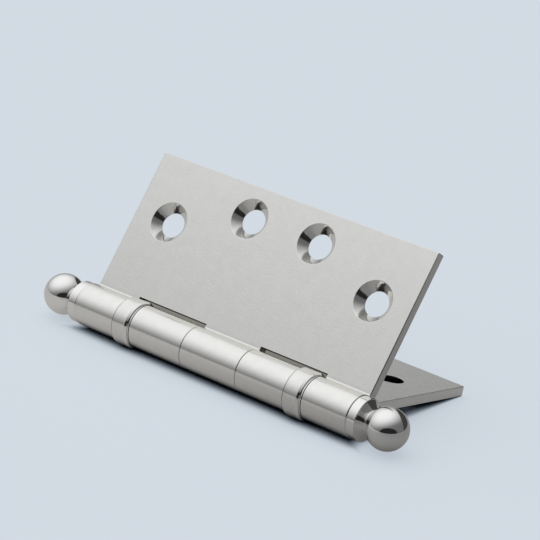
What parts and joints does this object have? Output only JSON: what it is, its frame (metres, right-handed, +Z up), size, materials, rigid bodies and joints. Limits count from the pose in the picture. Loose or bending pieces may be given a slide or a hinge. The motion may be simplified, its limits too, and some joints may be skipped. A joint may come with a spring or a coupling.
{
  "type": "ball bearing butt hinge",
  "caption": "Butt hinge with ball bearings between its knuckles, square countersunk leaves and ball tips, standing opened past flat.",
  "frame": {"origin": "on the ground under the middle of the hinge's box, as it stands opened past flat", "axes": "+X along the pin, from the left tip to the right one; +Y back, the way the lower leaf lies; +Z up"},
  "size_m": [0.1502, 0.065, 0.0552],
  "materials": {
    "satin_nickel": "satin nickel plate on brass",
    "polished_nickel": "polished nickel plate on brass",
    "pin_steel": "ground steel",
    "race_steel": "hardened steel",
    "ball_steel": "polished bearing steel",
    "cage_brass": "pressed brass"
  },
  "bodies": {
    "lower_leaf": {"two_knuckle_leaf": "satin_nickel", "left_moving_race": "race_steel", "right_bearing_shell": "polished_nickel", "right_fixed_race": "race_steel"},
    "upper_leaf": {"three_knuckle_leaf": "satin_nickel", "hinge_pin": "pin_steel", "left_ball_tip": "polished_nickel", "right_ball_tip": "polished_nickel", "left_bearing_shell": "polished_nickel", "left_fixed_race": "race_steel", "right_moving_race": "race_steel"},
    "left_cage": {"left_ball_cage": "cage_brass", "left_ball_1": "ball_steel", "left_ball_2": "ball_steel", "left_ball_3": "ball_steel", "left_ball_4": "ball_steel", "left_ball_5": "ball_steel", "left_ball_6": "ball_steel", "left_ball_7": "ball_steel", "left_ball_8": "ball_steel"},
    "right_cage": {"right_ball_cage": "cage_brass", "right_ball_1": "ball_steel", "right_ball_2": "ball_steel", "right_ball_3": "ball_steel", "right_ball_4": "ball_steel", "right_ball_5": "ball_steel", "right_ball_6": "ball_steel", "right_ball_7": "ball_steel", "right_ball_8": "ball_steel"}
  },
  "joints": [
    {"name": "leaf_swing", "type": "hinge", "parent": "lower_leaf", "child": "upper_leaf", "pos_m": [0, -0.0245, 0.00805], "axis": [1, 0, 0], "range_deg": [-17, 295.3]},
    {"name": "left_cage_roll", "type": "hinge", "parent": "lower_leaf", "child": "left_cage", "pos_m": [0, -0.0245, 0.00805], "axis": [1, 0, 0], "range_deg": [-9, 148.15]},
    {"name": "right_cage_roll", "type": "hinge", "parent": "lower_leaf", "child": "right_cage", "pos_m": [0, -0.0245, 0.00805], "axis": [1, 0, 0], "range_deg": [-9, 148.15]}
  ],
  "couplings": [
    {"joint": "left_cage_roll", "follows": "leaf_swing", "ratio": 0.5},
    {"joint": "right_cage_roll", "follows": "leaf_swing", "ratio": 0.5}
  ]
}
